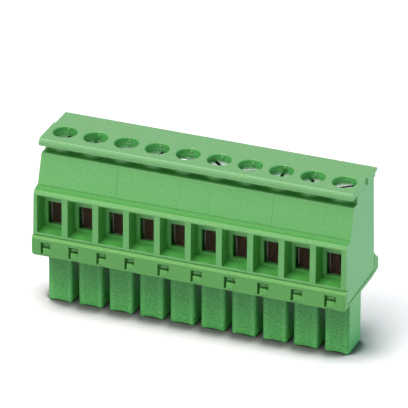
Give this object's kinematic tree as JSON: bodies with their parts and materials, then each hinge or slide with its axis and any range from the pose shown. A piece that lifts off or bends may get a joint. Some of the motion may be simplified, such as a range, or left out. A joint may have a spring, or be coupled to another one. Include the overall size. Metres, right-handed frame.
{
  "type": "pluggable terminal block",
  "caption": "Pluggable screw terminal block with a row of wire funnels, clamp screws in open wells and plug prongs below.",
  "frame": {"origin": "centre of the part's plan, at the height of the prong tips", "axes": "+X along the row of poles, -Y towards the wire side, +Z towards the screws"},
  "size_m": [0.0386, 0.0108, 0.0211],
  "materials": {
    "housing": "satin green moulding",
    "carrier": "satin green moulding, eroded on the prongs",
    "screw": "zinc plated",
    "sleeve": "nickel plated",
    "contact": "plated copper alloy strip"
  },
  "bodies": {
    "block": {"upper_housing": "housing", "contact_carrier": "carrier", "contact_spring_1": "contact", "contact_spring_2": "contact", "contact_spring_3": "contact", "contact_spring_4": "contact", "contact_spring_5": "contact", "contact_spring_6": "contact", "contact_spring_7": "contact", "contact_spring_8": "contact", "contact_spring_9": "contact", "contact_spring_10": "contact"},
    "screw_1": {"clamp_screw_1": "screw"},
    "clamp_1": {"clamp_sleeve_1": "sleeve"},
    "screw_2": {"clamp_screw_2": "screw"},
    "clamp_2": {"clamp_sleeve_2": "sleeve"},
    "screw_3": {"clamp_screw_3": "screw"},
    "clamp_3": {"clamp_sleeve_3": "sleeve"},
    "screw_4": {"clamp_screw_4": "screw"},
    "clamp_4": {"clamp_sleeve_4": "sleeve"},
    "screw_5": {"clamp_screw_5": "screw"},
    "clamp_5": {"clamp_sleeve_5": "sleeve"},
    "screw_6": {"clamp_screw_6": "screw"},
    "clamp_6": {"clamp_sleeve_6": "sleeve"},
    "screw_7": {"clamp_screw_7": "screw"},
    "clamp_7": {"clamp_sleeve_7": "sleeve"},
    "screw_8": {"clamp_screw_8": "screw"},
    "clamp_8": {"clamp_sleeve_8": "sleeve"},
    "screw_9": {"clamp_screw_9": "screw"},
    "clamp_9": {"clamp_sleeve_9": "sleeve"},
    "screw_10": {"clamp_screw_10": "screw"},
    "clamp_10": {"clamp_sleeve_10": "sleeve"}
  },
  "joints": [
    {"name": "screw_1_turn", "type": "hinge", "parent": "block", "child": "screw_1", "pos_m": [-0.01715, -0.00025, 0.0203], "axis": [0, 0, -1], "range_deg": [0, 2160]},
    {"name": "clamp_1_lift", "type": "slide", "parent": "block", "child": "clamp_1", "axis": [0, 0, 1], "range_m": [0, 0.0024]},
    {"name": "screw_2_turn", "type": "hinge", "parent": "block", "child": "screw_2", "pos_m": [-0.01333, -0.00025, 0.0203], "axis": [0, 0, -1], "range_deg": [0, 2160]},
    {"name": "clamp_2_lift", "type": "slide", "parent": "block", "child": "clamp_2", "axis": [0, 0, 1], "range_m": [0, 0.0024]},
    {"name": "screw_3_turn", "type": "hinge", "parent": "block", "child": "screw_3", "pos_m": [-0.00953, -0.00025, 0.0203], "axis": [0, 0, -1], "range_deg": [0, 2160]},
    {"name": "clamp_3_lift", "type": "slide", "parent": "block", "child": "clamp_3", "axis": [0, 0, 1], "range_m": [0, 0.0024]},
    {"name": "screw_4_turn", "type": "hinge", "parent": "block", "child": "screw_4", "pos_m": [-0.00571, -0.00025, 0.0203], "axis": [0, 0, -1], "range_deg": [0, 2160]},
    {"name": "clamp_4_lift", "type": "slide", "parent": "block", "child": "clamp_4", "axis": [0, 0, 1], "range_m": [0, 0.0024]},
    {"name": "screw_5_turn", "type": "hinge", "parent": "block", "child": "screw_5", "pos_m": [-0.00191, -0.00025, 0.0203], "axis": [0, 0, -1], "range_deg": [0, 2160]},
    {"name": "clamp_5_lift", "type": "slide", "parent": "block", "child": "clamp_5", "axis": [0, 0, 1], "range_m": [0, 0.0024]},
    {"name": "screw_6_turn", "type": "hinge", "parent": "block", "child": "screw_6", "pos_m": [0.00191, -0.00025, 0.0203], "axis": [0, 0, -1], "range_deg": [0, 2160]},
    {"name": "clamp_6_lift", "type": "slide", "parent": "block", "child": "clamp_6", "axis": [0, 0, 1], "range_m": [0, 0.0024]},
    {"name": "screw_7_turn", "type": "hinge", "parent": "block", "child": "screw_7", "pos_m": [0.00571, -0.00025, 0.0203], "axis": [0, 0, -1], "range_deg": [0, 2160]},
    {"name": "clamp_7_lift", "type": "slide", "parent": "block", "child": "clamp_7", "axis": [0, 0, 1], "range_m": [0, 0.0024]},
    {"name": "screw_8_turn", "type": "hinge", "parent": "block", "child": "screw_8", "pos_m": [0.00953, -0.00025, 0.0203], "axis": [0, 0, -1], "range_deg": [0, 2160]},
    {"name": "clamp_8_lift", "type": "slide", "parent": "block", "child": "clamp_8", "axis": [0, 0, 1], "range_m": [0, 0.0024]},
    {"name": "screw_9_turn", "type": "hinge", "parent": "block", "child": "screw_9", "pos_m": [0.01333, -0.00025, 0.0203], "axis": [0, 0, -1], "range_deg": [0, 2160]},
    {"name": "clamp_9_lift", "type": "slide", "parent": "block", "child": "clamp_9", "axis": [0, 0, 1], "range_m": [0, 0.0024]},
    {"name": "screw_10_turn", "type": "hinge", "parent": "block", "child": "screw_10", "pos_m": [0.01715, -0.00025, 0.0203], "axis": [0, 0, -1], "range_deg": [0, 2160]},
    {"name": "clamp_10_lift", "type": "slide", "parent": "block", "child": "clamp_10", "axis": [0, 0, 1], "range_m": [0, 0.0024]}
  ],
  "couplings": [
    {"joint": "screw_1_turn", "follows": "clamp_1_lift", "rad_per_m": 15708},
    {"joint": "screw_2_turn", "follows": "clamp_2_lift", "rad_per_m": 15708},
    {"joint": "screw_3_turn", "follows": "clamp_3_lift", "rad_per_m": 15708},
    {"joint": "screw_4_turn", "follows": "clamp_4_lift", "rad_per_m": 15708},
    {"joint": "screw_5_turn", "follows": "clamp_5_lift", "rad_per_m": 15708},
    {"joint": "screw_6_turn", "follows": "clamp_6_lift", "rad_per_m": 15708},
    {"joint": "screw_7_turn", "follows": "clamp_7_lift", "rad_per_m": 15708},
    {"joint": "screw_8_turn", "follows": "clamp_8_lift", "rad_per_m": 15708},
    {"joint": "screw_9_turn", "follows": "clamp_9_lift", "rad_per_m": 15708},
    {"joint": "screw_10_turn", "follows": "clamp_10_lift", "rad_per_m": 15708}
  ]
}
